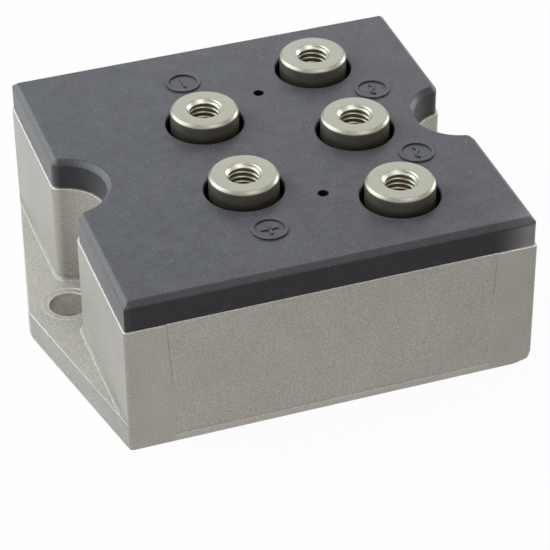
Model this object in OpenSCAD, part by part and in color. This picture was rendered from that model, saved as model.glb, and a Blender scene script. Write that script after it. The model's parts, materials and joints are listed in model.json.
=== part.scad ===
// Three-phase bridge rectifier module: a die-cast tray closed by a moulded lid, with five threaded posts.
// Millimetres. The origin is the middle of the mounting face, +Z points out of the lid and X runs
// from one mounting ear to the other.

/* [Casting] */
// Length of the tray over its end walls
body_l = 60; // [56:0.5:80]
// Width of the tray
body_w = 60; // [56:0.5:80]
// Height of the rim that carries the lid, from the mounting face
rim_h = 20.4; // [18:0.1:30]
// Thickness of the base plate and of both ears
base_t = 4.4; // [3:0.1:6]
// Thickness of the side and end walls
wall_t = 3; // [2:0.1:4]
// Plan radius of the upright outer corners
corner_r = 0.6; // [0.3:0.1:4]
// Plan radius of the corners inside the tray
inner_r = 1.5; // [0.5:0.1:4]
// Width of the sloped fillet at the foot of the end walls and notches
foot_out = 0.5; // [0.2:0.05:0.8]
// Height of that fillet above the base plate
foot_h = 0.7; // [0.3:0.1:2]

/* [Ears and screw notches] */
// Diameter of the mounting holes
hole_d = 5.6; // [4.3:0.1:6.6]
// How far a hole's centre lies outside the end wall
hole_out = 0.2; // [0:0.1:0.3]
// Radius of the ear's tip around its hole
ear_tip_r = 6; // [5:0.1:9]
// Width of the faced ring around a mounting hole
seat_w = 1; // [0.5:0.1:2]
// Depth of the faced ring
seat_depth = 0.1; // [0.05:0.05:0.4]
// Radius of the half-round notch above each hole, in the wall
notch_r = 6; // [5:0.1:8]
// Radius that rounds the notch's mouth
mouth_r = 1.5; // [1.2:0.1:3]
// Thickness of the wall that bulges into the tray around a notch
notch_wall = 2.5; // [1.5:0.1:4]

/* [Side panels] */
// Distance from the end wall to the panel's edge, at the rim
panel_margin = 6; // [3:0.5:12]
// How much narrower the panel is at its foot, each side
panel_taper = 1; // [0:0.1:2]
// Height of the strip left standing below a panel
panel_foot = 1.2; // [0.5:0.1:3]
// Depth of the panels
panel_depth = 0.15; // [0.05:0.05:0.5]

/* [Lid] */
// Thickness of the lid plate
lid_t = 4.5; // [3:0.1:8]
// How far the lid's ends stand back from the end walls
lid_back = 0.25; // [0.05:0.05:1]
// How far the lid's sides stand back from the side walls
lid_side_back = 0.2; // [0:0.05:1]
// Chamfer around the lid's top edge
lid_chamfer = 0.8; // [0.2:0.1:1]
// Plan radius of the lid's corners
lid_r = 0.3; // [0.2:0.1:2]
// How much wider the lid's notch is than the casting's
lid_notch_out = 0.4; // [0.1:0.1:1]
// Depth of the locating rib under the lid
rib_h = 2; // [1:0.1:3]
// Thickness of the locating rib
rib_t = 1.5; // [1:0.1:3]
// Clearance between the locating rib and the tray
rib_clear = 0.2; // [0.1:0.05:0.5]
// Diameter of the two filling vents
vent_d = 1.3; // [0.8:0.1:2]
// Distance from a side wall to the vent nearest to it
vent_inset = 16; // [14:0.5:20]

/* [Terminals] */
// Diameter of a terminal post
post_d = 10; // [8:0.1:11]
// How far the posts stand out of the lid
post_rise = 2.5; // [1:0.1:6]
// Radial gap between a post and its hole in the lid
post_clear = 0.7; // [0.3:0.1:1]
// Chamfer around a post's top
post_chamfer = 0.5; // [0.2:0.1:1]
// Minor diameter of the threaded bore
bore_d = 4.2; // [3.3:0.1:5]
// Depth of the threaded bore
bore_depth = 11; // [8:0.5:14]
// Diameter of the countersink at the bore's mouth
sink_d = 5.2; // [5.1:0.1:6]
// Depth of the anchoring groove around a post
groove_depth = 0.7; // [0.3:0.1:1]
// Width of the anchoring groove
groove_w = 2; // [1:0.1:3]
// Height of the anchoring groove above the post's foot
groove_up = 4; // [2:0.1:6]
// Distance from the end wall to the alternating-current posts
ac_inset = 16; // [15:0.1:20]
// Distance between the direct-current and the alternating-current columns
column_gap = 20; // [19:0.1:22]
// Distance from a side wall to the outer alternating-current post nearest to it
post_inset = 12; // [11:0.1:13]

/* [Circuit] */
// Gap between the ceramic and the walls around it
ceramic_gap = 1.25; // [0.5:0.05:2]
// Thickness of the ceramic
ceramic_t = 0.6; // [0.3:0.05:1]
// Bare edge of the ceramic around its copper
ceramic_edge = 0.8; // [0.5:0.1:2]
// Thickness of the copper on each face of the ceramic
copper_t = 0.35; // [0.2:0.05:0.5]
// Gap between neighbouring copper areas
copper_gap = 0.8; // [0.5:0.1:1.2]
// Border of copper around a post or a chip
copper_border = 0.4; // [0.2:0.1:1]
// Side of a diode chip
chip_side = 4.4; // [3:0.1:4.6]
// Thickness of a diode chip
chip_t = 0.4; // [0.2:0.05:0.6]
// Width of a connecting strap
strap_w = 4; // [2:0.1:5]
// Thickness of a connecting strap
strap_t = 0.6; // [0.3:0.05:1]
// Height of a strap's arch above the copper
strap_arch = 2; // [1.2:0.1:4]
// Length of a strap's foot on its copper area
strap_foot = 2; // [1:0.1:3]
// Run of a strap's bend on the flat
strap_bend = 1.4; // [0.8:0.1:2]
// Gap between a strap's foot and the post beside it
strap_gap = 0.3; // [0.1:0.1:1]
// Depth of the casting resin over the base plate
resin_h = 12; // [8:0.5:13]

/* [Hidden] */
$fn = 96;
// Length by which a cut runs past the face that it opens
over = 1;
// Depth by which one outline sinks into another that it would only just touch
sink = 0.005;
// How far the slope of the foot fillet runs into the wall
foot_sunk = 0.1;
three = [1, 2, 3];

hole_x = body_l / 2 + hole_out;
cavity_l = body_l - 2 * wall_t;
cavity_w = body_w - 2 * wall_t;
bulge_r = notch_r + notch_wall;

lid_l = body_l - 2 * lid_back;
lid_w = body_w - 2 * lid_side_back;
lid_top = rim_h + lid_t;
lid_notch_r = notch_r + lid_notch_out;

ac_x = body_l / 2 - ac_inset;
dc_x = ac_x - column_gap;
vent_x = (ac_x + dc_x) / 2;
vent_y = body_w / 2 - vent_inset;
post_r = post_d / 2;
post_pitch = body_w / 2 - post_inset;

// Each layer of the circuit lies on the one before it.
ceramic_l = 2 * (hole_x - bulge_r - ceramic_gap);
ceramic_w = cavity_w - 2 * ceramic_gap;
ceramic_z = base_t + copper_t;
copper_z = ceramic_z + ceramic_t;
chip_z = copper_z + copper_t;
strap_z = chip_z + chip_t;
post_top = lid_top + post_rise;

// Edges of the copper areas, from the minus side to the alternating-current side.
copper_x = ceramic_l / 2 - ceramic_edge;
copper_y = ceramic_w / 2 - ceramic_edge;
plus_left = dc_x - post_r - copper_border;
minus_right = dc_x + post_r + copper_border;
plus_strip = minus_right + copper_gap;
strap_end = ac_x - post_r - strap_gap;
ac_left = strap_end - strap_foot - copper_border;
plus_right = ac_left - copper_gap;

minus_chip_x = -copper_x + copper_border + chip_side / 2;
plus_chip_x = plus_right - copper_border - chip_side / 2;

// Place across the module of the first, second or third phase, from back to front.
function phase_y(i) = (2 - i) * post_pitch;

// Upper line of a strap, from its lower line and its thickness.
function raised(line) = [for (i = [len(line) - 1:-1:0]) [line[i].x, line[i].y + strap_t]];

// Rectangle with round corners, centred on the origin.
module rounded_rectangle(l, w, r) {
  square([l - 2 * r, w], center = true);
  square([l, w - 2 * r], center = true);
  for (sx = [-1, 1], sy = [-1, 1])
    translate([sx * (l / 2 - r), sy * (w / 2 - r)]) circle(r);
}

// Draws its children at both ends, with the hole's centre as origin and +X into the module.
module at_both_ends() {
  translate([-hole_x, 0]) children();
  mirror([1, 0]) translate([-hole_x, 0]) children();
}

// Centres of the circles that round a notch's mouth, from the hole's centre: they touch the notch
// from outside and the end face, which lies back from the hole's centre.
function mouth_x(back) = back + mouth_r - sink;
function mouth_y(r, back) = sqrt(pow(r + mouth_r - sink, 2) - pow(mouth_x(back), 2));

// Sector of the mouth between the notch's centre, both rounding circles and the open end.
module mouth_sector(r, back) {
  x = mouth_x(back);
  y = mouth_y(r, back);
  polygon([[0, 0], [x, y], [-over, y], [-over, -y], [x, -y]]);
}

// Half-round notch with a rounded mouth.
module notch(r, back) {
  circle(r);
  difference() {
    mouth_sector(r, back);
    for (s = [-1, 1]) translate([mouth_x(back), s * mouth_y(r, back)]) circle(mouth_r);
  }
}

// Outline of the tray's walls, with a notch at each end.
module wall_outline() {
  difference() {
    rounded_rectangle(body_l, body_w, corner_r);
    at_both_ends() notch(notch_r, hole_out);
  }
}

// Ear without its round tip, drawn in from its edges by the given distance: the edges touch the tip's
// circle about the hole and the tray's round corners.
module ear_sides(inset) {
  corner = [hole_out + corner_r, body_w / 2 - corner_r];
  turn = atan2(corner.y, corner.x) + acos((ear_tip_r - corner_r) / norm(corner));
  away = [cos(turn), sin(turn)];
  tip = (ear_tip_r - inset) * away;
  root = corner + (corner_r - inset) * away;
  polygon([[hole_x, root.y], root, tip, [tip.x, -tip.y], [root.x, -root.y], [hole_x, -root.y]]);
}

module ear() {
  circle(ear_tip_r);
  ear_sides(sink);
}

// Notch that narrows towards the base plate by the width of the fillet at its foot.
module fillet_notch() {
  past = (foot_out + foot_sunk) / foot_h * over;
  translate([0, 0, -over])
    cylinder(r1 = notch_r - foot_out - past, r2 = notch_r + foot_sunk + past, h = foot_h + 2 * over);
  difference() {
    translate([0, 0, -over]) linear_extrude(foot_h + 2 * over) mouth_sector(notch_r, hole_out);
    for (s = [-1, 1])
      translate([mouth_x(hole_out), s * mouth_y(notch_r, hole_out), -over])
        cylinder(r1 = mouth_r + foot_out + past, r2 = mouth_r - foot_sunk - past, h = foot_h + 2 * over);
  }
}

// Fillet at the foot of an end wall, which runs on around the notch and ends at the ear's edges.
module foot_fillet() {
  reach = notch_r + notch_wall / 2;
  intersection() {
    linear_extrude(base_t + foot_h + over) ear_sides(4 * sink);
    difference() {
      translate([hole_out, 0, 0]) rotate([90, 0, 0]) linear_extrude(body_w, center = true)
        polygon([[-foot_out, base_t / 2], [reach, base_t / 2], [reach, base_t + foot_h],
                 [foot_sunk, base_t + foot_h], [-foot_out, base_t]]);
      translate([0, 0, base_t]) fillet_notch();
    }
  }
}

// Base plate with both ears.
module base_outline() {
  rounded_rectangle(body_l, body_w, corner_r);
  at_both_ends() ear();
}

// Inside of the tray, drawn in from its walls by a clearance.
module cavity_outline(inset = 0) {
  difference() {
    rounded_rectangle(cavity_l - 2 * inset, cavity_w - 2 * inset, inner_r);
    at_both_ends() circle(bulge_r + inset);
  }
}

// Shallow panel in a long wall, from just above the base to the rim.
module side_panel() {
  top = body_l / 2 - panel_margin;
  foot = top - panel_taper;
  translate([0, panel_depth - body_w / 2, 0]) rotate([90, 0, 0])
    linear_extrude(panel_depth + over)
      polygon([[-foot, panel_foot], [foot, panel_foot], [top, rim_h], [top, rim_h + over],
               [-top, rim_h + over], [-top, rim_h]]);
}

module mounting_hole() {
  translate([0, 0, -over]) cylinder(d = hole_d, h = base_t + 2 * over);
  translate([0, 0, base_t - seat_depth]) cylinder(d = hole_d + 2 * seat_w, h = seat_depth + foot_h);
}

// Die-cast tray: base plate with pointed ears, and walls that fold in around the notches.
module housing() {
  color([0.66, 0.65, 0.62])
    difference() {
      union() {
        linear_extrude(base_t) base_outline();
        translate([-hole_x, 0, 0]) foot_fillet();
        mirror([1, 0, 0]) translate([-hole_x, 0, 0]) foot_fillet();
        linear_extrude(rim_h) wall_outline();
      }
      translate([0, 0, base_t]) linear_extrude(rim_h) cavity_outline();
      side_panel();
      mirror([0, 1, 0]) side_panel();
      translate([-hole_x, 0, 0]) mounting_hole();
      translate([hole_x, 0, 0]) mounting_hole();
    }
}

// Section of the lid plate across its given width, with both upper edges chamfered.
module lid_section(w) {
  polygon([[-w / 2, 0], [w / 2, 0], [w / 2, lid_t - lid_chamfer], [w / 2 - lid_chamfer, lid_t],
           [lid_chamfer - w / 2, lid_t], [-w / 2, lid_t - lid_chamfer]]);
}

// Round upright post of the lid's thickness with a chamfered top.
module lid_post(r) {
  rotate_extrude()
    polygon([[0, 0], [r, 0], [r, lid_t - lid_chamfer], [r - lid_chamfer, lid_t], [0, lid_t]]);
}

// Plate whose chamfered upper edges meet in mitres, with slightly round upright edges.
module lid_plate() {
  intersection() {
    rotate([90, 0, 0]) linear_extrude(lid_w + 2 * over, center = true) lid_section(lid_l);
    rotate([90, 0, 90]) linear_extrude(lid_l + 2 * over, center = true) lid_section(lid_w);
    linear_extrude(lid_t) rounded_rectangle(lid_l, lid_w, lid_r);
  }
}

// Notch through the lid, whose chamfer runs on around the notch and its rounded mouth.
module lid_notch() {
  back = hole_out + lid_back;
  translate([0, 0, -over]) cylinder(r = lid_notch_r, h = lid_t + 2 * over);
  translate([0, 0, lid_t - lid_chamfer])
    cylinder(r1 = lid_notch_r, r2 = lid_notch_r + lid_chamfer + over, h = lid_chamfer + over);
  difference() {
    translate([0, 0, -over]) linear_extrude(lid_t + 2 * over) mouth_sector(lid_notch_r, back);
    for (s = [-1, 1])
      translate([mouth_x(back), s * mouth_y(lid_notch_r, back), 0]) {
        translate([0, 0, -2 * over]) cylinder(r = mouth_r, h = 2 * over);
        lid_post(mouth_r);
      }
  }
}

// Rib under the lid that locates it in the tray and follows the bulges around the notches.
module locating_rib() {
  translate([0, 0, rim_h - rib_h]) linear_extrude(rib_h)
    difference() {
      cavity_outline(rib_clear);
      cavity_outline(rib_clear + rib_t);
    }
}

// Draws its children at the foot of each of the five posts' axes.
module at_posts() {
  for (s = [-1, 1]) translate([dc_x, s * post_pitch / 2, 0]) children();
  for (i = three) translate([ac_x, phase_y(i), 0]) children();
}

// Moulded lid with its locating rib, five holes for the posts and two filling vents.
module lid() {
  color([0.2, 0.2, 0.22])
    difference() {
      union() {
        translate([0, 0, rim_h])
          difference() {
            lid_plate();
            translate([-hole_x, 0, 0]) lid_notch();
            mirror([1, 0, 0]) translate([-hole_x, 0, 0]) lid_notch();
          }
        locating_rib();
      }
      at_posts() translate([0, 0, rim_h - rib_h - over])
        cylinder(r = post_r + post_clear, h = rib_h + lid_t + 2 * over);
      for (s = [-1, 1]) translate([vent_x, s * vent_y, rim_h - over])
        cylinder(d = vent_d, h = lid_t + 2 * over);
    }
}

// Turned blank of a post on the origin's axis, with its anchoring groove.
module post_blank() {
  groove_z = chip_z + groove_up;
  rotate_extrude()
    polygon([[0, chip_z], [post_r, chip_z], [post_r, groove_z], [post_r - groove_depth, groove_z],
             [post_r - groove_depth, groove_z + groove_w], [post_r, groove_z + groove_w],
             [post_r, post_top - post_chamfer], [post_r - post_chamfer, post_top], [0, post_top]]);
}

// Threaded bore with its countersunk mouth, as one turned cut.
module post_bore() {
  bore_r = bore_d / 2;
  sink_r = sink_d / 2;
  bore_end = post_top - bore_depth;
  rotate_extrude()
    polygon([[0, bore_end], [bore_r, bore_end], [bore_r, post_top - sink_r + bore_r],
             [sink_r, post_top], [sink_r, post_top + over], [0, post_top + over]]);
}

module post() {
  difference() {
    post_blank();
    post_bore();
  }
}

module terminal(x, y) {
  color([0.76, 0.73, 0.66]) translate([x, y, 0]) post();
}

// Copper bonded to the ceramic's lower face, soldered to the base plate.
module base_copper() {
  color([0.72, 0.45, 0.2])
    translate([-copper_x, -copper_y, base_t]) cube([2 * copper_x, 2 * copper_y, copper_t]);
}

module ceramic_substrate() {
  color([0.94, 0.93, 0.9])
    translate([-ceramic_l / 2, -ceramic_w / 2, ceramic_z]) cube([ceramic_l, ceramic_w, ceramic_t]);
}

// Copper area on the ceramic's upper face.
module copper_area(points) {
  color([0.72, 0.45, 0.2])
    translate([0, 0, copper_z]) linear_extrude(copper_t) polygon(points);
}

// Area under the minus post, with a leg that carries the three minus chips.
module minus_plate() {
  leg = plus_left - copper_gap;
  copper_area([[-copper_x, -copper_y], [leg, -copper_y], [leg, copper_gap / 2],
               [minus_right, copper_gap / 2], [minus_right, copper_y], [-copper_x, copper_y]]);
}

// Area under the plus post, with a strip that carries the three plus chips.
module plus_plate() {
  copper_area([[plus_left, -copper_y], [plus_right, -copper_y], [plus_right, copper_y],
               [plus_strip, copper_y], [plus_strip, -copper_gap / 2], [plus_left, -copper_gap / 2]]);
}

// Area under one alternating-current post.
module ac_pad(i) {
  edge = (post_pitch - copper_gap) / 2;
  front = i == 3 ? -copper_y : phase_y(i) - edge;
  back = i == 1 ? copper_y : phase_y(i) + edge;
  copper_area([[ac_left, front], [copper_x, front], [copper_x, back], [ac_left, back]]);
}

// Diode chip, soldered by its lower face.
module diode(x, i) {
  color([0.25, 0.26, 0.3])
    translate([x - chip_side / 2, phase_y(i) - chip_side / 2, chip_z])
      cube([chip_side, chip_side, chip_t]);
}

// Bent strap that joins one phase's pad to the tops of its plus chip and its minus chip.
module ac_strap(i) {
  reach = chip_side / 2;
  line = [[strap_end, chip_z], [strap_end - strap_foot, chip_z],
          [plus_chip_x + reach, strap_z], [plus_chip_x - reach, strap_z],
          [plus_chip_x - reach - strap_bend, chip_z + strap_arch],
          [minus_chip_x + reach + strap_bend, chip_z + strap_arch],
          [minus_chip_x + reach, strap_z], [minus_chip_x - reach, strap_z]];
  color([0.78, 0.52, 0.3])
    translate([0, phase_y(i), 0]) rotate([90, 0, 0])
      linear_extrude(strap_w, center = true) polygon(concat(line, raised(line)));
}

// Everything that the resin flows around. It doesn't reach into the posts' bores.
module circuit() {
  base_copper();
  ceramic_substrate();
  minus_plate();
  plus_plate();
  at_posts() post_blank();
  for (i = three) {
    ac_pad(i);
    diode(minus_chip_x, i);
    diode(plus_chip_x, i);
    ac_strap(i);
  }
}

// Resin poured into the tray over the circuit.
module casting_resin() {
  color([0.12, 0.13, 0.14])
    difference() {
      translate([0, 0, base_t]) linear_extrude(resin_h) cavity_outline();
      circuit();
    }
}

housing();
lid();
terminal(dc_x, post_pitch / 2);  // terminal_minus
terminal(dc_x, -post_pitch / 2);  // terminal_plus
for (i = three)
  terminal(ac_x, phase_y(i));
base_copper();
ceramic_substrate();
minus_plate();
plus_plate();
for (i = three)
  ac_pad(i);
for (i = three)
  diode(minus_chip_x, i);
for (i = three)
  diode(plus_chip_x, i);
for (i = three)
  ac_strap(i);
casting_resin();
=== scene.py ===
"""Looks of the bridge rectifier module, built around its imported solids, in metres and in their frame."""
import json

import bmesh
import bpy
import numpy as np
from mathutils import Matrix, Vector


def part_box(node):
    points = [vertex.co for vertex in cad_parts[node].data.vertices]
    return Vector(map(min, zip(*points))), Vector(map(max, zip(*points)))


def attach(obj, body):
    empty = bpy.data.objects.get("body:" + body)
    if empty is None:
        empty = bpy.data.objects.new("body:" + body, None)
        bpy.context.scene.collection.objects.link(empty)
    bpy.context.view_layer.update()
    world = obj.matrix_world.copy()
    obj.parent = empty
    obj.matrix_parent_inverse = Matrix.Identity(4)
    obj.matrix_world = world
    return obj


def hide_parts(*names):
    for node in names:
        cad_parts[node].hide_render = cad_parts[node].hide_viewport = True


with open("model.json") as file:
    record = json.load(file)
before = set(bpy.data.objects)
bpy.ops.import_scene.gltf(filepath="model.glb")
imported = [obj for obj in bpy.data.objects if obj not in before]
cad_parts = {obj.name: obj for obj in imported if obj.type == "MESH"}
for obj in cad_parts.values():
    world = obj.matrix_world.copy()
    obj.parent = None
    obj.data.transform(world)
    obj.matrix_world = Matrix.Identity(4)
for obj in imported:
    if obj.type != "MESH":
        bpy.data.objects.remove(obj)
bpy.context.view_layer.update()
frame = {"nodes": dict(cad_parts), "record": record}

# Housing: the tray that carries the circuit and leads its heat to the heat sink. It is die-cast
# aluminium, lightly blasted, so its faces have a fine grain and its edges are softly rounded.
MM = 0.001


def add_node(tree, kind, inputs=(), **settings):
    """New node with its settings, and a value or a link for each input that is named or numbered."""
    node = tree.nodes.new(kind)
    for name, value in settings.items():
        setattr(node, name, value)
    for name, value in dict(inputs).items():
        if isinstance(value, bpy.types.NodeSocket):
            tree.links.new(value, node.inputs[name])
        else:
            node.inputs[name].default_value = value
    return node


def mix_colors(tree, share, low, high):
    """Colour that goes from low to high as share goes from 0 to 1."""
    node = add_node(tree, "ShaderNodeMix", {0: share, 6: low, 7: high}, data_type="RGBA")
    return node.outputs[2]


def remap(tree, value, from_low, from_high, to_low, to_high):
    """Value carried from one range to another, and held at the ends of the second."""
    ends = {0: value, 1: from_low, 2: from_high, 3: to_low, 4: to_high}
    return add_node(tree, "ShaderNodeMapRange", ends).outputs[0]


def make_grain_group():
    """Noise in object space: a fine grain and broad patches, both from 0 to 1, with sizes per metre."""
    group = bpy.data.node_groups.new("surface grain", "ShaderNodeTree")
    layers = (("Grains per metre", "Grain", 2.0), ("Patches per metre", "Patches", 3.0))
    for scale, name, _ in layers:
        group.interface.new_socket(scale, in_out="INPUT", socket_type="NodeSocketFloat")
        group.interface.new_socket(name, in_out="OUTPUT", socket_type="NodeSocketFloat")
    sizes = group.nodes.new("NodeGroupInput")
    place = group.nodes.new("ShaderNodeTexCoord").outputs["Object"]
    result = group.nodes.new("NodeGroupOutput")
    for scale, name, detail in layers:
        noise = add_node(group, "ShaderNodeTexNoise",
                         {"Vector": place, "Scale": sizes.outputs[scale], "Detail": detail})
        spread = remap(group, noise.outputs["Fac"], 0.3, 0.7, 0.0, 1.0)
        group.links.new(spread, result.inputs[name])
    return group


grain_group = make_grain_group()


def new_material(name, plain, grains, patches):
    """Material whose shader has the given plain values, with the outputs of the grain group."""
    material = bpy.data.materials.new(name)
    material.use_nodes = True
    tree = material.node_tree
    shader = tree.nodes["Principled BSDF"]
    for socket, value in plain.items():
        shader.inputs[socket].default_value = value
    sizes = {"Grains per metre": grains, "Patches per metre": patches}
    noise = add_node(tree, "ShaderNodeGroup", sizes, node_tree=grain_group).outputs
    return material, tree, shader, noise["Grain"], noise["Patches"]


def bump(tree, shader, height, depth, strength):
    """Fine relief of the given depth in metres, from a height that goes from 0 to 1."""
    node = add_node(tree, "ShaderNodeBump", {"Height": height, "Distance": depth, "Strength": strength})
    tree.links.new(node.outputs["Normal"], shader.inputs["Normal"])


weld_gap = 0.002 * MM


def solid_copy(node, name):
    """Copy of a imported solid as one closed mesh, with its triangles joined into whole flat faces."""
    mesh = frame["nodes"][node].data.copy()
    mesh.name = name
    shape = bmesh.new()
    shape.from_mesh(mesh)
    bmesh.ops.remove_doubles(shape, verts=shape.verts, dist=weld_gap)
    bmesh.ops.dissolve_limit(shape, angle_limit=np.radians(0.6), verts=shape.verts, edges=shape.edges)
    shape.to_mesh(mesh)
    shape.free()
    mesh.materials.clear()
    return mesh


def mesh_points(mesh):
    """Points of a mesh in millimetres, one row each."""
    points = np.empty(3 * len(mesh.vertices))
    mesh.vertices.foreach_get("co", points)
    return points.reshape(-1, 3) / MM


def edge_table(mesh):
    """Middle of each edge in millimetres, and the turn in degrees between the two faces on it."""
    ends = np.empty(2 * len(mesh.edges), int)
    mesh.edges.foreach_get("vertices", ends)
    middle = mesh_points(mesh)[ends.reshape(-1, 2)].mean(axis=1)
    edge_of_loop = np.empty(len(mesh.loops), int)
    mesh.loops.foreach_get("edge_index", edge_of_loop)
    sides = np.empty(len(mesh.polygons), int)
    mesh.polygons.foreach_get("loop_total", sides)
    normals = np.empty(3 * len(mesh.polygons))
    mesh.polygons.foreach_get("normal", normals)
    normal_of_loop = np.repeat(normals.reshape(-1, 3), sides, axis=0)
    pairs = normal_of_loop[np.argsort(edge_of_loop, kind="stable")].reshape(-1, 2, 3)
    turn = np.degrees(np.arccos(np.clip((pairs[:, 0] * pairs[:, 1]).sum(axis=1), -1, 1)))
    return middle.T, turn


def add_piece(name, mesh, material, node=None):
    """Object for a mesh: smooth, with the given material, on the one body and in place of the named solid.
    """
    mesh.materials.append(material)
    mesh.shade_smooth()
    piece = bpy.data.objects.new(name, mesh)
    bpy.context.scene.collection.objects.link(piece)
    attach(piece, "root")
    if node:
        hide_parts(node)
    return piece


def round_edges(piece, widths, segments):
    """Rounds each edge by its own width in millimetres."""
    largest = widths.max()
    weights = piece.data.attributes.new("bevel_weight_edge", "FLOAT", "EDGE")
    weights.data.foreach_set("value", widths / largest)
    rounding = piece.modifiers.new("rounding", "BEVEL")
    rounding.limit_method = "WEIGHT"
    rounding.offset_type = "OFFSET"
    rounding.width = largest * MM
    rounding.segments = segments
    rounding.use_clamp_overlap = False


def flat_faces(piece):
    """Shading normals that follow the large faces."""
    shading = piece.modifiers.new("flat faces", "WEIGHTED_NORMAL")
    shading.mode = "FACE_AREA"
    shading.weight = 50
    shading.keep_sharp = True


half = 30.0
wall = 3.0
hole_x = 30.2
hole_r, ring_r, notch_r, ear_tip_r = 2.8, 3.8, 6.0, 6.0
base_top, fillet = 4.4, 0.7
rim_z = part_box("housing")[1].z / MM
ear_side = (0.9776, 0.2103, 0.0)
ear_reach = ear_side[0] * hole_x + ear_tip_r
panel_foot = 1.2
panel_half_low, panel_half_high = 23.0, 24.0


def band(tree, value, start, full):
    """Share that goes from 0 at start to 1 at full, both in millimetres."""
    return remap(tree, value, start * MM, full * MM, 0.0, 1.0)


def combine(tree, operation, *shares):
    """All shares joined by one operation, such as MULTIPLY or MAXIMUM."""
    result = shares[0]
    for share in shares[1:]:
        result = add_node(tree, "ShaderNodeMath", {0: result, 1: share}, operation=operation).outputs[0]
    return result


def plan_distance(tree, flat, x, y):
    """Distance in plan from the point at x and y millimetres."""
    ends = {0: flat, 1: (x * MM, y * MM, 0.0)}
    return add_node(tree, "ShaderNodeVectorMath", ends, operation="DISTANCE").outputs["Value"]


def place_values(tree):
    """Point in object space, its x and y, its distances from the middle planes with its height, and
    those distances as a point in plan."""
    place = tree.nodes.new("ShaderNodeTexCoord").outputs["Object"]
    outward = add_node(tree, "ShaderNodeVectorMath", {0: place}, operation="ABSOLUTE").outputs[0]
    ends = {0: outward, 1: (1, 1, 0)}
    flat = add_node(tree, "ShaderNodeVectorMath", ends, operation="MULTIPLY").outputs[0]
    sided = add_node(tree, "ShaderNodeSeparateXYZ", {0: place}).outputs
    return place, sided[:2], add_node(tree, "ShaderNodeSeparateXYZ", {0: outward}).outputs, flat


cast_skin, tree, shader, grain, patches = new_material(
    "cast aluminium", {"Metallic": 0.65}, 5400.0, 130.0)
pale = mix_colors(tree, patches, (0.575, 0.54, 0.49, 1), (0.62, 0.583, 0.53, 1))
dark = mix_colors(tree, patches, (0.31, 0.29, 0.262, 1), (0.34, 0.32, 0.29, 1))
skin = mix_colors(tree, grain, dark, pale)
_, (side_x, side_y), (across, along, height), flat = place_values(tree)
from_hole = plan_distance(tree, flat, hole_x, 0)

# Pale lines, part wear and part painted highlight: along the ears' upper edges, round the faced rings and
# the holes, on the rim, mostly at its right front end, and along the crease at the foot of the walls.
ends = {0: flat, 1: ear_side}
past_ear = add_node(tree, "ShaderNodeVectorMath", ends, operation="DOT_PRODUCT").outputs["Value"]
below_wall = band(tree, height, base_top + 0.1, base_top + 0.05)
at_ear = combine(tree, "MULTIPLY", band(tree, past_ear, ear_reach - 0.16, ear_reach - 0.1),
                 band(tree, height, base_top - 0.14, base_top - 0.08), below_wall, 0.4)
at_ring = combine(tree, "MULTIPLY", band(tree, from_hole, ring_r - 0.18, ring_r - 0.1),
                  band(tree, from_hole, ring_r + 0.15, ring_r + 0.07), below_wall, 0.75)
at_mouth = combine(tree, "MULTIPLY", band(tree, from_hole, hole_r + 0.3, hole_r + 0.2),
                   band(tree, height, base_top - 0.35, base_top - 0.25), 0.35)
on_front = combine(tree, "MULTIPLY", band(tree, side_y, 0.5 - half, 0.3 - half),
                   remap(tree, side_x, (half - 10) * MM, (half - 4) * MM, 0.15, 0.8))
on_ends = combine(tree, "MULTIPLY", band(tree, across, half - 0.6, half - 0.4), 0.5)
at_rim = combine(tree, "MULTIPLY", band(tree, height, rim_z - 0.2, rim_z - 0.12),
                 combine(tree, "MAXIMUM", on_front, on_ends))
on_end_wall = combine(tree, "MAXIMUM", band(tree, across, half - 0.1, half - 0.05),
                      band(tree, from_hole, notch_r + 0.1, notch_r + 0.05))
at_fillet = combine(tree, "MULTIPLY", band(tree, height, base_top + 0.02, base_top + 0.05),
                    band(tree, height, base_top + fillet + 0.1, base_top + fillet),
                    band(tree, along, half - 0.4, half - 0.7), on_end_wall)
at_crease = combine(tree, "MULTIPLY", at_fillet,
                    band(tree, height, base_top + 0.14, base_top + 0.08), 0.45)
pale_wear_and_highlights = combine(tree, "MAXIMUM", at_ear, at_ring, at_mouth, at_rim, at_crease)
pale_wear_and_highlights = combine(tree, "MULTIPLY", pale_wear_and_highlights, remap(tree, grain, 0.1, 0.6, 0.4, 1.0))

# The panels in the long walls: a paler strip under them, and an edge with painted shade above on the left
# and a painted highlight below on the right.
panel_x = remap(tree, height, panel_foot * MM, rim_z * MM, panel_half_low * MM, panel_half_high * MM)
off_edge = add_node(tree, "ShaderNodeMath", {0: across, 1: panel_x}, operation="SUBTRACT").outputs[0]
off_edge = add_node(tree, "ShaderNodeMath", {0: off_edge}, operation="ABSOLUTE").outputs[0]
at_edge = combine(tree, "MULTIPLY", band(tree, off_edge, 0.13, 0.07),
                  band(tree, along, half - 0.3, half - 0.2))
painted_lit_edge = combine(tree, "MULTIPLY", at_edge, band(tree, side_x, 0, 1), band(tree, height, 15, 10), 0.28)
painted_shaded_edge = combine(tree, "MULTIPLY", at_edge, band(tree, side_x, 0, -1), band(tree, height, 8, 14), 0.32)
strip = combine(tree, "MULTIPLY", band(tree, height, panel_foot + 0.05, panel_foot - 0.1),
                band(tree, along, half - 0.15, half - 0.05),
                band(tree, across, panel_half_high, panel_half_low), 0.15)
skin = mix_colors(tree, painted_shaded_edge, skin, (0.1, 0.1, 0.095, 1))
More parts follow.
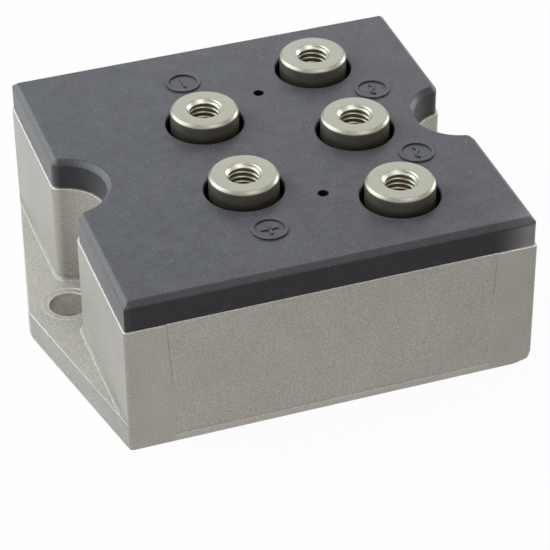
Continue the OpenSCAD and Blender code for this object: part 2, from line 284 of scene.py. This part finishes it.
# Painted shade: the fillet at the foot of the walls is darkened.
skin = mix_colors(tree, combine(tree, "MULTIPLY", at_fillet, 0.22), skin, (0.25, 0.24, 0.22, 1))
pale_wear_and_highlights = combine(tree, "MAXIMUM", pale_wear_and_highlights, painted_lit_edge, strip)
tree.links.new(mix_colors(tree, pale_wear_and_highlights, skin, (0.8, 0.79, 0.76, 1)), shader.inputs["Base Color"])
rough = remap(tree, grain, 0.0, 1.0, 0.46, 0.58)
tree.links.new(remap(tree, at_fillet, 0.0, 1.0, rough, 0.75), shader.inputs["Roughness"])
bump(tree, shader, grain, 0.045 * MM, 0.5)


def plane_foot(mesh, radius):
    """Makes the foot of the two right corners round: planes that touch a ball of the given radius, which
    lies against the floor and both walls, each take off what stands beyond them."""
    shape = bmesh.new()
    shape.from_mesh(mesh)
    bmesh.ops.remove_doubles(shape, verts=shape.verts, dist=weld_gap)
    for side in (-1, 1):
        middle = np.array([half - radius, side * (half - radius), radius])
        for tilt in np.radians([15, 35, 55, 75]):
            for turn in np.radians([14, 35, 55, 76]):
                level = [np.cos(turn), side * np.sin(turn), 0]
                outward = np.cos(tilt) * np.array(level) - np.sin(tilt) * np.array([0, 0, 1])
                cut = bmesh.ops.bisect_plane(
                    shape, geom=shape.verts[:] + shape.edges[:] + shape.faces[:], dist=0.0001 * MM,
                    plane_co=(middle + radius * outward) * MM, plane_no=outward, clear_outer=True)
                rim = [part for part in cut["geom_cut"] if isinstance(part, bmesh.types.BMEdge)]
                for face in bmesh.ops.edgeloop_fill(shape, edges=rim)["faces"]:
                    face.normal_update()
                    if np.dot(face.normal, outward) < 0:
                        face.normal_flip()
    shape.to_mesh(mesh)
    shape.free()


casting = solid_copy("housing", "housing_casting")
housing = add_piece("housing_casting", casting, cast_skin, "housing")
(x, y, z), turn = edge_table(housing.data)
across, along = np.abs(x), np.abs(y)
from_hole = np.hypot(across - hole_x, y)
slack = 0.1
on_base, on_rim = np.abs(z - base_top) < slack, z > rim_z - slack
in_cavity = (np.maximum(across, along) < half - wall + slack) & (from_hole > notch_r + 1.9)
in_cavity &= z > base_top - slack
on_panel = (along > half - 0.2) & (across < panel_half_high + slack) & (z > panel_foot - slack) & ~on_rim
on_fillet = (z > base_top - slack) & (z < base_top + 1) & (from_hole > 5) & (across < hole_x + 0.4)
widths = np.select(
    [(turn < 12) | in_cavity, on_panel, on_rim, (z < slack) & (from_hole > 4), z < slack,
     from_hole < hole_r + 0.4, from_hole < ring_r + 0.4, on_fillet, on_base],
    [0.0, 0.06, 0.15, 0.35, 0.0, 0.15, 0.04, 0.0, 0.16], 0.1)
crease = on_fillet & (z < base_top + slack)
housing.data.attributes.new("sharp_edge", "BOOLEAN", "EDGE").data.foreach_set("value", crease)
round_edges(housing, widths, 3)

# The rounding becomes part of the mesh first, because the planes leave slivers that can't be rounded.
foot_round = 1.1
rounded = housing.evaluated_get(bpy.context.evaluated_depsgraph_get())
housing.data = bpy.data.meshes.new_from_object(rounded)
housing.data.name = "housing_casting"
housing.modifiers.clear()
plane_foot(housing.data, foot_round)
flat_faces(housing)

# Circuit: the parts soldered to the tray's floor, all hidden by the lid and the resin. Copper areas
# lie on both faces of a white ceramic, dark chips on the copper, and bent straps join the phases.
copper, tree, shader, grain, patches = new_material(
    "bare copper", {"Metallic": 1.0}, 3000.0, 120.0)
tint = mix_colors(tree, patches, (0.6, 0.3, 0.17, 1), (0.75, 0.42, 0.26, 1))
tree.links.new(tint, shader.inputs["Base Color"])
tree.links.new(remap(tree, grain, 0.0, 1.0, 0.3, 0.45), shader.inputs["Roughness"])

ceramic, tree, shader, grain, _ = new_material(
    "alumina ceramic", {"Roughness": 0.6}, 4000.0, 150.0)
tint = mix_colors(tree, grain, (0.8, 0.78, 0.74, 1), (0.9, 0.89, 0.86, 1))
tree.links.new(tint, shader.inputs["Base Color"])

silicon, tree, shader, grain, patches = new_material(
    "silicon chip", {"Metallic": 0.4}, 3000.0, 400.0)
tint = mix_colors(tree, patches, (0.1, 0.105, 0.13, 1), (0.16, 0.17, 0.2, 1))
tree.links.new(tint, shader.inputs["Base Color"])
tree.links.new(remap(tree, grain, 0.0, 1.0, 0.15, 0.25), shader.inputs["Roughness"])

resin, tree, shader, grain, patches = new_material(
    "casting resin", {}, 1500.0, 90.0)
tint = mix_colors(tree, patches, (0.012, 0.012, 0.014, 1), (0.022, 0.022, 0.024, 1))
tree.links.new(tint, shader.inputs["Base Color"])
tree.links.new(remap(tree, grain, 0.0, 1.0, 0.25, 0.4), shader.inputs["Roughness"])

inner_finish = {"copper": copper, "ceramic": ceramic, "silicon": silicon, "casting_resin": resin}
for part in frame["record"]["subparts"]:
    if part["material_slot"] in inner_finish:
        solid = frame["nodes"][part["node"]]
        solid.data.materials.clear()
        solid.data.materials.append(inner_finish[part["material_slot"]])

# Terminals: five brass posts, turned, tapped for screws and nickel plated. They stand on the copper
# areas, are held by the resin around their grooves and rise through the lid with a gap around them.
post_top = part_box("terminal_plus")[1].z / MM
nickel, tree, shader, grain, _ = new_material(
    "nickel plate", {"Metallic": 0.85}, 6000.0, 250.0)
# Painted shade: below the top the sides take a darker, warmer copy of the plating's colour.
top_face = mix_colors(tree, grain, (0.25, 0.245, 0.201, 1), (0.31, 0.303, 0.248, 1))
shaded_side = mix_colors(tree, grain, (0.21, 0.19, 0.15, 1), (0.265, 0.24, 0.193, 1))
height = place_values(tree)[2][2]
plating_and_side_shade = mix_colors(tree, band(tree, height, post_top - 0.6, post_top - 0.8), top_face, shaded_side)
in_bore = add_node(tree, "ShaderNodeAttribute", attribute_name="bore").outputs["Fac"]
in_groove = add_node(tree, "ShaderNodeAttribute", attribute_name="groove").outputs["Fac"]
# In the bore: paler than the plating as painted light, palest in the countersink as a painted highlight,
# and dark brown in the thread's roots as painted shade.
in_sink = band(tree, height, post_top - 0.55, post_top - 0.45)
bore_light_and_shade = mix_colors(tree, in_sink, (0.42, 0.4, 0.335, 1), (0.475, 0.475, 0.43, 1))
bore_light_and_shade = mix_colors(tree, in_groove, bore_light_and_shade, (0.15, 0.115, 0.055, 1))
tree.links.new(mix_colors(tree, in_bore, plating_and_side_shade, bore_light_and_shade), shader.inputs["Base Color"])
tree.links.new(remap(tree, grain, 0.0, 1.0, 0.31, 0.41), shader.inputs["Roughness"])
bump(tree, shader, grain, 0.004 * MM, 0.3)

post_r, bore_r, bore_depth, drill_r = 5.0, 2.1, 11.0, 1.9
sink_depth, sink_from = 0.54, 0.16
thread_pitch, thread_depth, thread_lift = 0.8, 0.4, 0.28
around = 96


def arc(center_r, center_z, radius, start, end, steps):
    """Points of a circular arc in the profile's plane, from one angle to the other in degrees."""
    angle = np.radians(np.linspace(start, end, steps))
    return np.stack([center_r + radius * np.cos(angle), center_z + radius * np.sin(angle)], axis=1)


def post_profile(foot, top):
    """Outline of a post from its foot up to the mouth of the bore: radius and height in millimetres."""
    chamfer, soft, edge = 0.4, 0.26, 0.1
    groove_r, low, high = post_r - 0.7, foot + 4, foot + 6
    bend = soft * np.tan(np.radians(22.5))
    lower = arc(post_r - soft, top - chamfer - bend, soft, 0, 45, 5)
    upper = arc(post_r - chamfer - bend, top - soft, soft, 45, 90, 5)
    mouth = arc(bore_r + sink_depth + 0.04, top - edge, edge, 90, 135, 4)
    groove = [(post_r, low), (groove_r, low), (groove_r, high), (post_r, high)]
    return np.concatenate([[(post_r - edge, foot), (post_r, foot + edge)], groove, lower, upper, mouth])


def sink_cone(z, top):
    """Radius of the countersink at height z: the bore's radius plus the height above the cone's foot."""
    return bore_r + z - (top - sink_depth)


def threaded_bore(top, end):
    """Bore with an inner thread. At height z and angle a its phase is (z - lift) / pitch - a / turn, and
    its depth is a wave with sloped flanks and flat ends. It runs out in the countersink, a cone."""
    z = np.linspace(top - sink_from, end + 0.3, 200)[:, None]
    turn_share = np.linspace(0, 1, around, endpoint=False)[None, :]
    phase = ((z - thread_lift) / thread_pitch - turn_share) % 1.0
    flank = np.clip((0.75 - np.abs(2 * phase - 1)) / 0.625, 0, 1)
    started = np.clip((top - sink_from - z) / 0.06, 0, 1)
    return np.maximum(bore_r + thread_depth * flank * started, sink_cone(z, top)), z[:, 0]


def turned_mesh(name, radius, height, center):
    """Surface of revolution: row i has radius[i, j] at angle j and one height, and a point on the axis
    closes the first and the last row. All in millimetres about an upright axis through center."""
    rows, columns = radius.shape
    angle = np.linspace(0, 2 * np.pi, columns, endpoint=False)
    x = center[0] + radius * np.cos(angle)
    y = center[1] + radius * np.sin(angle)
    z = np.broadcast_to(height[:, None], radius.shape)
    points = np.stack([x, y, z], axis=-1).reshape(-1, 3)
    poles = [(center[0], center[1], height[0]), (center[0], center[1], height[-1])]
    index = np.arange(rows * columns).reshape(rows, columns)
    after = np.roll(index, -1, axis=1)
    quads = np.stack([index[:-1], after[:-1], after[1:], index[1:]], axis=-1).reshape(-1, 4)
    first = np.full(columns, rows * columns)
    lower = np.stack([first, after[0], index[0]], axis=-1)
    upper = np.stack([index[-1], after[-1], first + 1], axis=-1)
    mesh = bpy.data.meshes.new(name)
    points = np.concatenate([points, poles]) * MM
    mesh.from_pydata(points.tolist(), [], quads.tolist() + lower.tolist() + upper.tolist())
    return mesh


for node in ("terminal_minus", "terminal_plus", "terminal_ac_1", "terminal_ac_2", "terminal_ac_3"):
    low, high = [np.array(corner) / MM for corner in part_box(node)]
    top, end = high[2], high[2] - bore_depth
    outline = post_profile(low[2], top)
    thread_r, thread_z = threaded_bore(top, end)
    outside = np.repeat(outline[:, :1], around, axis=1)
    radius = np.concatenate([outside, thread_r, np.full((1, around), drill_r)])
    height = np.concatenate([outline[:, 1], thread_z, [end]])
    mesh = turned_mesh(node + "_post", radius, height, (low + high)[:2] / 2)
    in_bore = np.zeros(len(mesh.vertices))
    in_bore[len(outline) * around:] = 1
    mesh.attributes.new("bore", "FLOAT", "POINT").data.foreach_set("value", in_bore)
    depth = np.zeros(radius.shape)
    plain_r = np.maximum(bore_r, sink_cone(thread_z, top))[:, None]
    depth[len(outline):-1] = np.clip((thread_r - plain_r) / (bore_r + thread_depth - plain_r), 0, 1)
    in_groove = np.concatenate([depth.ravel(), [0, 1]])
    mesh.attributes.new("groove", "FLOAT", "POINT").data.foreach_set("value", in_groove)
    flat_faces(add_piece(node + "_post", mesh, nickel, node))

# Lid: closes the tray and keeps the posts apart. It is moulded in dark grey filled plastic with a matt
# skin that shows pale specks of filler, and it is glued on by the rib under its rim.
lid_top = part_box("lid")[1].z / MM
lid_x, lid_y = 29.75, 29.8
shoulder = lid_top - 0.8
vent_x, vent_y, vent_r = 4.0, 14.0, 0.65
plastic, tree, shader, grain, patches = new_material(
    "lid plastic", {"IOR": 1.32}, 5000.0, 500.0)
pale = mix_colors(tree, patches, (0.097, 0.097, 0.105, 1), (0.124, 0.124, 0.14, 1))
dark = mix_colors(tree, patches, (0.049, 0.049, 0.055, 1), (0.066, 0.066, 0.076, 1))
skin = mix_colors(tree, grain, dark, pale)
place, (side_x, side_y), (across, along, height), flat = place_values(tree)
speck_noise = add_node(tree, "ShaderNodeTexVoronoi", {"Vector": place, "Scale": 1300.0}, feature="F1")
chosen = add_node(tree, "ShaderNodeSeparateColor", {0: speck_noise.outputs["Color"]}).outputs[0]
near = remap(tree, speck_noise.outputs["Distance"], 0.2, 0.1, 0.0, 1.0)
speck = combine(tree, "MULTIPLY", near, remap(tree, chosen, 0.84, 0.97, 0.0, 1.0))
skin = mix_colors(tree, speck, skin, (0.24, 0.24, 0.245, 1))

# The right front corner is painted pale, mostly on its front face: a painted highlight from the light on
# the right, on a slightly scuffed corner. The left face and the left notch's chamfer are painted paler as
# a painted sheen from the light on the left. The vents and the holes' walls are painted dark as shade and
# dull.
from_corner = plan_distance(tree, flat, lid_x, lid_y)
right_front = combine(tree, "MULTIPLY", band(tree, side_x, 20, 21), band(tree, side_y, -20, -21))
to_corner = band(tree, from_corner, 7.0, 1.4)
on_face = combine(tree, "MULTIPLY", band(tree, along, lid_y - 0.2, lid_y - 0.1),
                  band(tree, height, shoulder, shoulder - 0.3))
on_face = remap(tree, on_face, 0.0, 1.0, 0.12, 1.0)
scuff_and_highlight = combine(tree, "MULTIPLY", right_front, to_corner, to_corner, on_face)
skin = mix_colors(tree, scuff_and_highlight, skin, (0.92, 0.9, 0.9, 1))
on_notch = combine(tree, "MULTIPLY", band(tree, side_x, -20, -21), band(tree, side_x, -28.5, -25.5),
                   band(tree, along, 12, 10), band(tree, height, shoulder, shoulder + 0.1),
                   band(tree, height, lid_top - 0.02, lid_top - 0.1))
left_side = combine(tree, "MAXIMUM", band(tree, side_x, -28.7, -29.1), on_notch)
# Painted sheen: the left face and the left notch's chamfer are paler, as if lit from the left.
painted_left_sheen = combine(tree, "MULTIPLY", left_side, remap(tree, grain, 0.0, 1.0, 0.3, 1.0))
skin = mix_colors(tree, painted_left_sheen, skin, (0.195, 0.178, 0.174, 1))
from_vent = plan_distance(tree, flat, vent_x, vent_y)
in_vent = combine(tree, "MULTIPLY", band(tree, from_vent, vent_r + 0.17, vent_r + 0.13),
                  band(tree, side_x, 0, 1))
in_hole = combine(tree, "MULTIPLY", band(tree, across, 23, 22.5), band(tree, along, 28, 27.5),
                  band(tree, height, lid_top - 0.25, lid_top - 0.7))
shaded = combine(tree, "MAXIMUM", in_vent, in_hole)
tree.links.new(mix_colors(tree, shaded, skin, (0.01, 0.01, 0.01, 1)), shader.inputs["Base Color"])
tree.links.new(shaded, shader.inputs["Metallic"])
rough = remap(tree, grain, 0.0, 1.0, 0.33, 0.43)
tree.links.new(remap(tree, shaded, 0.0, 1.0, rough, 0.9), shader.inputs["Roughness"])
bump(tree, shader, grain, 0.02 * MM, 0.45)


def soften_corners(mesh, reach, growth):
    """Makes the plan radius of the two right corners larger: their arcs' points, all within reach, move
    away from the sharp corner by one factor, and from the chamfer's foot too where they lie above it."""
    points = mesh_points(mesh)
    sharp = np.stack([np.full(len(points), lid_x), np.copysign(lid_y, points[:, 1]),
                      np.minimum(points[:, 2], shoulder)], axis=1)
    on_arc = np.hypot(*(points - sharp)[:, :2].T) < reach
    points[on_arc] = (sharp + growth * (points - sharp))[on_arc]
    mesh.vertices.foreach_set("co", (points * MM).ravel())
    mesh.update()


lid_mesh = solid_copy("lid", "lid_moulding")
soften_corners(lid_mesh, reach=0.45, growth=2.2)
lid = add_piece("lid_moulding", lid_mesh, plastic, "lid")
(x, y, z), turn = edge_table(lid.data)
on_top = z > lid_top - slack
vents = (np.hypot(x - vent_x, np.abs(y) - vent_y) < vent_r + 0.15) & on_top
holes = (np.abs(y) < 25) & (np.abs(x) < 20) & on_top
widths = np.select([(turn < 25) | (z < rim_z - 0.05), vents, holes, z < rim_z + slack],
                   [0.0, 0.12, 0.26, 0.08], 0.12)
round_edges(lid, widths, 3)
flat_faces(lid)

# Signs: the polarity marks beside the posts. Each is a raised ring with a plus, a minus or a wave for
# alternating current in it, moulded in one with the lid.
ring_in, ring_out, ring_steps = 2.12, 2.62, 72
ring_rise, stroke_rise, mark_sunk, mark_soft = 0.24, 0.2, 0.05, 0.06
stroke_half, bar_half = 0.2, 1.1
wave_half, wave_swing = 1.15, 0.34


def mark_section(half_width, rise):
    """Cross-section of a raised mark, from its left foot over its flat top to its right foot."""
    left = arc(mark_soft - half_width, rise - mark_soft, mark_soft, 180, 90, 4)
    right = arc(half_width - mark_soft, rise - mark_soft, mark_soft, 90, 0, 4)
    return np.concatenate([[(-half_width, -mark_sunk)], left, right, [(half_width, -mark_sunk)]])


def swept_mesh(name, points, closed):
    """Solid whose rows are closed sections, with its ends joined where it is closed. Points of the end
    rows that fall together are made one."""
    rows, columns = points.shape[:2]
    index = np.arange(rows * columns).reshape(rows, columns)
    after = np.roll(index, -1, axis=0)
    if not closed:
        index, after = index[:-1], after[:-1]
    quads = np.stack([index, np.roll(index, -1, axis=1), np.roll(after, -1, axis=1), after], axis=-1)
    mesh = bpy.data.meshes.new(name)
    mesh.from_pydata((points.reshape(-1, 3) * MM).tolist(), [], quads.reshape(-1, 4).tolist())
    shape = bmesh.new()
    shape.from_mesh(mesh)
    bmesh.ops.remove_doubles(shape, verts=shape.verts, dist=weld_gap / 2)
    shape.to_mesh(mesh)
    shape.free()
    return mesh


def ring_points(center, top):
    """Section of a mark carried round a circle of the ring's middle radius."""
    section = mark_section((ring_out - ring_in) / 2, ring_rise)
    angle = np.linspace(0, 2 * np.pi, ring_steps, endpoint=False)[:, None]
    radius = (ring_out + ring_in) / 2 + section[:, 0]
    x = center[0] + radius * np.cos(angle)
    y = center[1] + radius * np.sin(angle)
    height = np.broadcast_to(top + section[:, 1], x.shape)
    return np.stack([x, y, height], axis=-1)


def stroke_points(line, top):
    """Section of a mark carried along a line, drawn in to a point on half circles at both ends."""
    step = np.diff(line, axis=0)
    heading = np.arctan2(*np.gradient(line, axis=0).T[::-1])
    reach = np.concatenate([[0], np.cumsum(np.hypot(*step.T))])
    fan = stroke_half * np.cos(np.linspace(0, np.pi / 2, 7))
    along = np.concatenate([-fan[:-1], reach, reach[-1] + fan[:-1][::-1]])
    inner = np.clip(along, 0, reach[-1])
    past = along - inner
    turn = np.interp(inner, reach, np.unwrap(heading))
    middle = np.stack([np.interp(inner, reach, line[:, k]) for k in (0, 1)], axis=1)
    middle = middle + past[:, None] * np.stack([np.cos(turn), np.sin(turn)], axis=1)
    share = np.sqrt(np.maximum(1 - (past / stroke_half) ** 2, 0))[:, None]
    section = mark_section(stroke_half, stroke_rise)
    across = -share * section[:, 0]
    height = np.broadcast_to(top + section[:, 1], across.shape)
    x = middle[:, :1] - np.sin(turn)[:, None] * across
    y = middle[:, 1:] + np.cos(turn)[:, None] * across
    return np.stack([x, y, height], axis=-1)


bar = np.linspace(-bar_half, bar_half, 9)[:, None]
along_x = bar * [1.0, 0.0]
along_y = bar * [0.0, 1.0]
wave_run = np.linspace(-wave_half, wave_half, 33)
wave = np.stack([wave_swing * np.sin(wave_run / wave_half * np.pi), wave_run], axis=1)
marks = {"minus": ((-5.75, 20.4), [along_y]), "plus": ((-5.9, -19.75), [along_x, along_y]),
         "wave_1": ((20.2, 9.2), [wave]), "wave_2": ((20.1, -8.85), [wave])}
for name, (center, lines) in marks.items():
    ring = swept_mesh("mark_ring_" + name, ring_points(center, lid_top), True)
    add_piece("mark_ring_" + name, ring, plastic)
    for number, line in enumerate(lines):
        label = f"mark_stroke_{name}_{number + 1}"
        stroke = swept_mesh(label, stroke_points(line + np.array(center), lid_top), False)
        add_piece(label, stroke, plastic)

# Studio: a white paper floor in a white room that is seen and mirrored but gives only a gentle fill.
# Five soft lamps light the module: a large cool one on the left, and panels behind it on the left and
# the right, on the right, and overhead.
scene = bpy.context.scene
scene.view_settings.view_transform = "Standard"

world = bpy.data.worlds.new("white room")
world.use_nodes = True
scene.world = world
tree = world.node_tree


def seen_or_mirrored(tree):
    """One for rays from the camera and rays mirrored or bent towards it, zero for diffuse light."""
    path = add_node(tree, "ShaderNodeLightPath").outputs
    mirrored = add_node(tree, "ShaderNodeMath",
                        {0: path["Is Glossy Ray"], 1: path["Is Transmission Ray"]}, operation="MAXIMUM")
    both = add_node(tree, "ShaderNodeMath",
                    {0: path["Is Camera Ray"], 1: mirrored.outputs[0]}, operation="MAXIMUM")
    return both.outputs[0]


room = tree.nodes["Background"]
room.inputs["Color"].default_value = (1, 1, 1, 1)
tree.links.new(remap(tree, seen_or_mirrored(tree), 0.0, 1.0, 0.05, 1.0), room.inputs["Strength"])

side = 4.0
corners = [(-side, -side, 0), (side, -side, 0), (side, side, 0), (-side, side, 0)]
floor_mesh = bpy.data.meshes.new("floor")
floor_mesh.from_pydata(corners, [], [(0, 1, 2, 3)])
floor = bpy.data.objects.new("floor", floor_mesh)
scene.collection.objects.link(floor)
paper = bpy.data.materials.new("white paper")
paper.use_nodes = True
tree = paper.node_tree
shader = tree.nodes["Principled BSDF"]
path = add_node(tree, "ShaderNodeLightPath").outputs
sheet = mix_colors(tree, path["Is Diffuse Ray"], (0.86, 0.86, 0.86, 1), (0.07, 0.07, 0.07, 1))
tree.links.new(sheet, shader.inputs["Base Color"])
shader.inputs["Roughness"].default_value = 0.9
shader.inputs["Specular IOR Level"].default_value = 0.0
place = tree.nodes.new("ShaderNodeTexCoord").outputs["Object"]
to_right = add_node(tree, "ShaderNodeSeparateXYZ", {0: place}).outputs[0]
# Painted light on the floor: in mirrored rays the paper glows brighter on the left and dimmer to the
# right.
fading = remap(tree, to_right, -0.04, 0.06, 1.05, 0.79)
strength = remap(tree, path["Is Camera Ray"], 0.0, 1.0, fading, 1.0)
glow = add_node(tree, "ShaderNodeEmission", {"Color": (1, 1, 1, 1), "Strength": strength})
share = remap(tree, seen_or_mirrored(tree), 0.0, 1.0, 0.0, 0.96)
whitened = add_node(tree, "ShaderNodeMixShader", {0: share, 1: shader.outputs[0], 2: glow.outputs[0]})
tree.links.new(whitened.outputs[0], tree.nodes["Material Output"].inputs["Surface"])
floor_mesh.materials.append(paper)

middle = np.array([0.0, 0.0, 0.012])


def soft_lamp(name, place, width, height, power, color):
    """Rectangular lamp of a size in metres that faces the object's middle."""
    lamp = bpy.data.lights.new(name, "AREA")
    lamp.shape = "RECTANGLE"
    lamp.size = width
    lamp.size_y = height
    lamp.energy = power
    lamp.color = color
    holder = bpy.data.objects.new(name, lamp)
    scene.collection.objects.link(holder)
    back = np.array(place) - middle
    back = back / np.linalg.norm(back)
    right = np.cross([0, 0, 1], back)
    right = right / np.linalg.norm(right)
    axes = np.stack([right, np.cross(back, right), back, place], axis=1)
    holder.matrix_world = Matrix(np.vstack([axes, [0, 0, 0, 1]]).tolist())


soft_lamp("key", (-0.5, 0.25, 0.5), 0.6, 0.6, 4.2, (0.865, 1.0, 1.035))
soft_lamp("panel behind left", (-0.39, 0.41, 0.19), 0.36, 0.3, 0.65, (0.89, 1.0, 1.035))
soft_lamp("panel right", (0.558, 0.168, 0.156), 0.25, 0.25, 1.2, (1.0, 1.0, 1.0))
soft_lamp("panel behind", (0.207, 0.611, 0.473), 0.5, 0.5, 0.78, (0.95, 0.99, 1.07))
soft_lamp("panel overhead", (0.14, -0.3, 0.7), 0.4, 0.4, 1.35, (1.05, 0.985, 0.98))

# Camera: a long lens in front of the module, slightly to its left and well above it.
azimuth, elevation, roll = np.radians([-18.735, 36.236, -0.65])
outward = np.array([np.sin(azimuth), -np.cos(azimuth), 0.0])
back = np.cos(elevation) * outward + np.sin(elevation) * np.array([0.0, 0.0, 1.0])
level = np.array([np.cos(azimuth), np.sin(azimuth), 0.0])
upright = np.cross(back, level)
right = np.cos(roll) * level + np.sin(roll) * upright
up = np.cos(roll) * upright - np.sin(roll) * level
target, distance = np.array([2.205, 2.07, 0.066]) * MM, 377.625 * MM
eye = target + distance * back
lens = bpy.data.cameras.new("camera")
lens.sensor_width = 36.0
lens.lens = 164.231
lens.clip_start = 0.01
camera = bpy.data.objects.new("camera", lens)
axes = np.stack([right, up, back, eye], axis=1)
camera.matrix_world = Matrix(np.vstack([axes, [0, 0, 0, 1]]).tolist())
scene.collection.objects.link(camera)
scene.camera = camera
